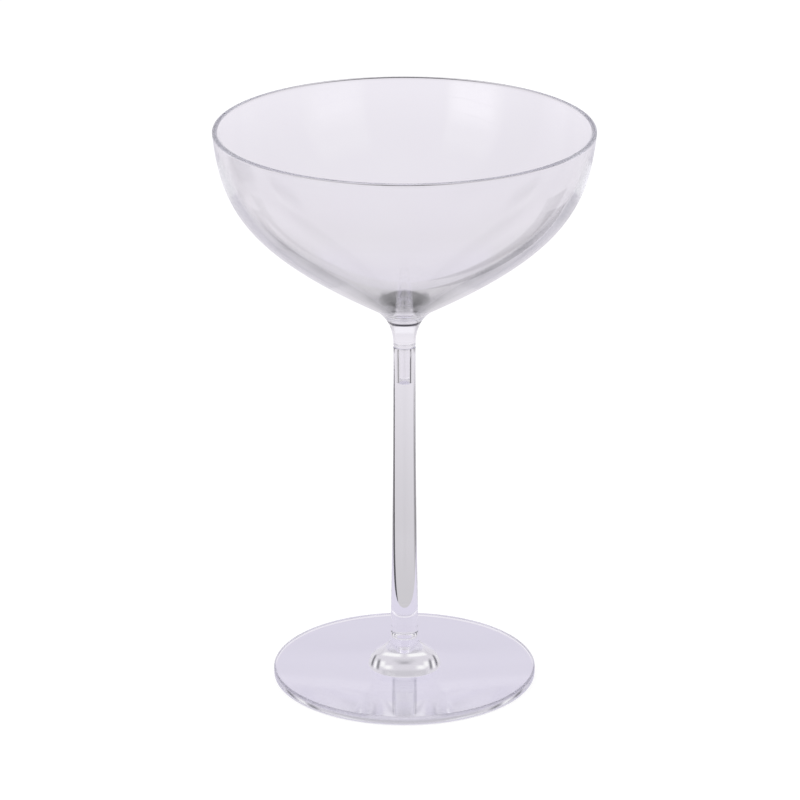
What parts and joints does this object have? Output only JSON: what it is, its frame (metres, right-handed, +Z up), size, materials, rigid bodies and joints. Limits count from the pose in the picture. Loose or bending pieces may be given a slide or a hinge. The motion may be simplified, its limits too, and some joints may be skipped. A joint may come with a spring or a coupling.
{
  "type": "coupe glass",
  "caption": "Clear plastic coupe with a wide tapering bowl, a slim rod stem and a flat round foot, joined by cemented pegs in blind sockets.",
  "frame": {"origin": "centre of the foot's flat underside, on the axis of the glass", "axes": "+Z up along the axis, from the foot to the rim; the glass is a body of revolution, so +X and +Y are free"},
  "size_m": [0.11, 0.11, 0.1695],
  "materials": {
    "clear_bowl": "clear, moulded and polished",
    "clear_stem": "clear, moulded and polished",
    "clear_foot": "clear, moulded and polished"
  },
  "bodies": {
    "root": {"bowl": "clear_bowl", "stem": "clear_stem", "foot": "clear_foot"}
  },
  "joints": []
}
